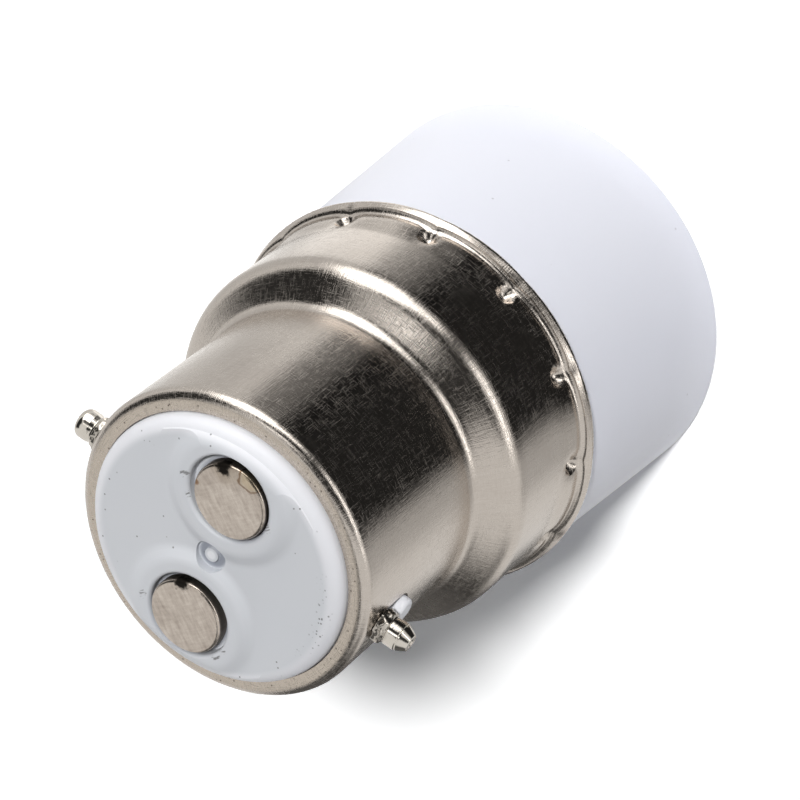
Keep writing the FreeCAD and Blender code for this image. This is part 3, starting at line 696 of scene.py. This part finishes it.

# %% [markdown]
# ## Contact faces
# The two contacts are soft nickel-plated buttons that sprung plungers rub against. So their flat
# tops have fine scratches, wavy on one and crossed on the other, a black smudge at one edge where
# an arc has burnt it, and on the first a brown stain with a darker outline. Each mark is a place
# on the button: its distance, shaken by noise, becomes a mask. The side that faces the well's
# wall is painted dark, as painted shade in the narrow gap by the wall, and is made duller.

# %% Contact nickel
place, shader, contact_metal = new_finish("contact_nickel")
shake = noise(place, 900, 3.0) * 1.3
wavy = place.node("ShaderNodeMapping", None, {"Vector": place, "Rotation": (0, 0, 0.75)})
scratches = noise(wavy, 1.0, 2.0, (900, 3600, 700))
crossed = noise(wavy, 1.0, 3.0, (5200, 1100, 700))
fine = noise(place, 5200, 2.0)
cloud = noise(place, 500, 3.0)
flake = shake + noise(place, 3200, 3.0) * 0.9
soot = (away(place, -0.95, 7.5, 42.7) + 0.8 * flake).ramp(0.75, 0.4)
soot_two = (away(place, -1.15, -3.0, 42.7) + 0.8 * flake).ramp(0.8, 0.4)
haze = away(place, -0.7, 7.3, 42.7).ramp(1.5, 0.5)
stain = away(place, 1.2, 7.75, 42.7) + 0.8 * shake
tint = stain.ramp(1.0, 0.6)
outline = stain.ramp(1.06, 0.97) * stain.ramp(0.80, 0.92) * (0.9 + 2.0 * cloud)
spot = (away(place, -2.4, 5.1, 42.6) + shake * 0.5).ramp(0.3, 0.1)
colour = 0.5 + cloud + 1.1 * scratches + 0.6 * crossed
colour = colour.blend((0.40, 0.345, 0.30, 1), (0.74, 0.67, 0.60, 1))
colour = (haze * 0.4).blend(colour, (0.26, 0.20, 0.13, 1))
colour = (tint * 0.4).blend(colour, (0.52, 0.40, 0.20, 1))
colour = (outline * 0.9).blend(colour, (0.16, 0.08, 0.025, 1))
colour = (spot * 0.85).blend(colour, (0.22, 0.11, 0.04, 1))
burnt = soot.math("MAXIMUM", soot, soot_two)
colour = (burnt * 0.97).blend(colour, (0.008, 0.007, 0.006, 1))
# painted shade: the button's side is painted dark, as the shade in the narrow gap by the well's
# wall; it is also rougher
side = height(place).ramp(42.6, 42.35)
colour = (side * 0.6).blend(colour, (0.05, 0.045, 0.04, 1))
wire(colour, shader, "Base Color")
wire(0.22 + 0.1 * cloud + 0.4 * burnt + 0.12 * scratches + 0.4 * side, shader, "Roughness")
shader.inputs["Metallic"].default_value = 1.0
grain(shader, scratches + 0.7 * crossed + 0.5 * fine, 0.014)
print("contact nickel nodes", len(contact_metal.node_tree.nodes))


# %% Contact buttons
BUTTON_PLACES = {"contact_button_line": (0.2, 5.16), "contact_button_neutral": (-0.12, -5.38)}


def button(name, x, y):
    """A riveted contact: a flat head with a worn round edge on a straight shank."""
    section = rounded([
        (0.0, 36.3, 0, 0.5), (1.4, 36.3, 0.1, 1.0), (1.4, 41.75, 0, 0.5), (2.7, 41.75, 0.05, 0.3),
        (2.7, 42.7, 0.22, 0.35), (0.0, 42.7, 0, 9),
    ], 6)
    piece = spin_up(name + "_worn", section, 120, centre=(x, y, 0))
    finish(piece, contact_metal, "adapter", "contact_nickel", name, smooth=35.0)


for name, (x, y) in BUTTON_PLACES.items():
    button(name, x, y)

# %% [markdown]
# ## Pieces that keep their solid
# The other pieces already have their true shape in the packed model, so they only change clothes:
# the material slots are emptied and one finish takes their place.


# %% Dress a packed piece
def dress(material, *names):
    """Give CAD nodes their finish."""
    for name in names:
        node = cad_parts[name]
        node.data.materials.clear()
        node.data.materials.append(material)
    print(material.name, "on", ", ".join(names))


# %% [markdown]
# ## Glossy insulator
# The white plug at the end is a hard glossy moulding. Handling has left dark scuffs by the
# contacts and a sprinkling of dirt where the face meets its raised rim, densest at one side. Each
# scuff is a single place that leaning noise breaks into short strokes, and the sprinkling is a
# speckle pattern kept in a ring. The wells' edges and the ring of the gate mark are tinted darker,
# because so little light reaches them. The raised rim and the gate's small nub are painted lighter,
# as painted highlights where the light catches them.

# %% Glossy white
SCUFFS = [(-3.33, 4.92, 0.34), (-2.7, 3.64, 0.22), (3.0, 4.94, 0.4), (-3.51, -6.0, 0.3),
          (2.97, -5.94, 0.34), (2.76, -6.85, 0.28), (-1.0, 7.75, 0.35), (-1.2, -2.75, 0.3)]
place, shader, insulator = new_finish("glossy_white")
cloud = noise(place, 180, 2.0)
shake = noise(place, 2600, 3.0) * 0.7
leaning = place.node("ShaderNodeMapping", None, {"Vector": place, "Rotation": (0, 0, 2.3)})
dashes = noise(leaning, 1.0, 2.0, (1200, 7000, 700)).ramp(-0.03, 0.08)
from_axis = across(place)
ring = from_axis.ramp(7.9, 8.4) * from_axis.ramp(9.25, 8.9)
dense = (away(place, 8.7, 0.7, 42.2) + shake).ramp(4.2, 1.2)
few = specks(place, 1500, 0.08, 0.13)
many = specks(place, 3400, 0.75, 0.3) * ring * dense
rim_few = specks(place, 2600, 0.14, 0.22) * ring
dirt = few.math("MAXIMUM", few, many)
dirt = dirt.math("MAXIMUM", dirt, rim_few)
for x, y, size in SCUFFS:
    scuff = (away(place, x, y, 42.5) + shake).ramp(size * 1.25, size * 0.7) * dashes
    dirt = dirt.math("MAXIMUM", dirt, scuff)
# painted highlight: the raised rim is painted lighter, as where light catches its rounded band
painted_rim_light = from_axis.ramp(8.4, 9.0)
bone = (0.5 + cloud).blend((0.69, 0.71, 0.745, 1), (0.72, 0.735, 0.765, 1))
bone = painted_rim_light.blend(bone, (0.86, 0.865, 0.90, 1))
gate = away(place, 0, 0, 42.0)
# painted shade: the gate's hollow ring is darkened where little light reaches it
gate_ring_shade = gate.ramp(0.45, 0.6) * gate.ramp(1.2, 0.85)
bone = (gate_ring_shade * 0.9).blend(bone, (0.26, 0.28, 0.33, 1))
# painted highlight: the gate's small nub is painted light
bone = gate.ramp(0.4, 0.25).blend(bone, (0.88, 0.89, 0.92, 1))
for x, y in BUTTON_PLACES.values():
    edge = away(place, x, y, 42.4)
    bone = (edge.ramp(3.15, 2.75) * 0.75).blend(bone, (0.27, 0.285, 0.33, 1))
colour = (dirt * 0.75).blend(bone, (0.09, 0.085, 0.08, 1))
wire(colour, shader, "Base Color")
wire(0.5 + 0.08 * cloud + 0.2 * dirt, shader, "Roughness")
grain(shader, cloud, 0.02)
dress(insulator, "end_insulator")

# %% [markdown]
# ## Satin holder
# The big white moulding has a fine satin skin from its mould, a hint of cool tint and a few dust
# specks.

# %% Satin white
place, shader, satin = new_finish("satin_white")
cloud = noise(place, 120, 2.0)
skin = noise(place, 5200, 2.0)
dust = specks(place, 620, 0.22, 0.07)
colour = (0.5 + cloud).blend((0.84, 0.853, 0.93, 1), (0.86, 0.87, 0.935, 1))
colour = (dust * 0.45).blend(colour, (0.35, 0.34, 0.36, 1))
wire(colour, shader, "Base Color")
wire(0.42 + 0.1 * cloud, shader, "Roughness")
grain(shader, skin, 0.003)
dress(satin, "housing")

# %% [markdown]
# ## Metals inside
# The screw sleeve is rolled from plated sheet, the sprung tongue, the rivet and the terminal are
# bare brass, the leads are copper in a plain sleeve, and each joint is dull solder. They share
# one recipe: a colour that drifts a little, fine lines along one axis and a roughness that
# follows them.


# %% Inner metals
def plain_metal(name, dark, light, rough, stretch, metallic=1.0):
    """A metal with a drifting colour and fine lines."""
    place, shader, material = new_finish(name)
    cloud = noise(place, 420, 3.0)
    lines = noise(place, 1.0, 3.0, stretch)
    wire((0.5 + cloud + 0.4 * lines).blend(dark, light), shader, "Base Color")
    wire(rough + 0.12 * cloud + 0.12 * lines, shader, "Roughness")
    shader.inputs["Metallic"].default_value = metallic
    grain(shader, lines, 0.004)
    return material


# %% Dress the inner pieces
plated = plain_metal(
    "plated_thread", (0.60, 0.57, 0.52, 1), (0.72, 0.69, 0.64, 1), 0.28, (500, 500, 6000))
brass = plain_metal(
    "spring_brass", (0.66, 0.48, 0.22, 1), (0.80, 0.62, 0.33, 1), 0.3, (900, 6000, 900))
copper = plain_metal(
    "lead_copper", (0.60, 0.33, 0.2, 1), (0.75, 0.45, 0.3, 1), 0.35, (4000, 4000, 300))
solder = plain_metal(
    "dull_solder", (0.48, 0.48, 0.49, 1), (0.66, 0.66, 0.66, 1), 0.42, (2500, 2500, 2500))
sleeving = plain_metal(
    "lead_sleeving", (0.70, 0.70, 0.67, 1), (0.77, 0.77, 0.75, 1), 0.5, (900, 900, 900), 0.0)
dress(plated, "screw_shell")
dress(brass, "centre_contact", "foot_rivet", "foot_terminal")
dress(copper, "line_lead_core", "neutral_lead_core")
dress(solder, "solder_line_button", "solder_centre_tail",
      "solder_neutral_button", "solder_foot_terminal")
dress(sleeving, "line_lead_sleeve", "neutral_lead_sleeve")

# %% [markdown]
# ## Sizes
# The dressed model must stay as large as the packed one.
